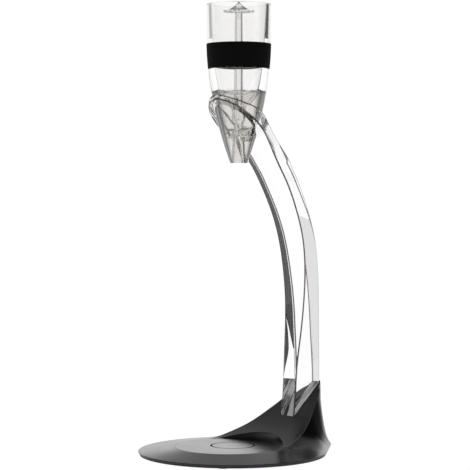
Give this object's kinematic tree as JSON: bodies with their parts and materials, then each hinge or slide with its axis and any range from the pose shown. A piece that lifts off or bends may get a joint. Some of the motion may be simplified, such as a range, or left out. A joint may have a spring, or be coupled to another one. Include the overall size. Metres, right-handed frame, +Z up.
{
  "type": "wine aerator",
  "caption": "Clear funnel-shaped wine aerator held in the ring of a curved clear arm on a dark teardrop base, with a ring groove for the glass.",
  "frame": {"origin": "on the table, under the middle of the teardrop base's length, in the mirror plane", "axes": "+Z up along the aerator's axis, +X towards the heel of the base where the arm stands, +Y to the left of the arm as seen from the front; the XZ plane is the mirror plane"},
  "size_m": [0.188, 0.165, 0.396],
  "materials": {
    "base_black": "gloss",
    "cover_black": "matt",
    "ballast_steel": "plain rolled",
    "screw_steel": "zinc plated",
    "clear_acrylic": "polished clear",
    "band_silicone": "matt",
    "pad_rubber": "matt"
  },
  "bodies": {
    "root": {"base_shell": "base_black", "bottom_cover": "cover_black", "ballast_plate": "ballast_steel", "cover_screws": "screw_steel", "stand_arm": "clear_acrylic", "aerator_cup": "clear_acrylic", "grip_band": "band_silicone", "aerator_skirt": "clear_acrylic", "venturi_nozzle": "clear_acrylic", "spreader_stem": "clear_acrylic", "spreader_cap": "clear_acrylic", "foot_pad_1": "pad_rubber", "foot_pad_2": "pad_rubber", "foot_pad_3": "pad_rubber", "foot_pad_4": "pad_rubber"}
  },
  "joints": []
}
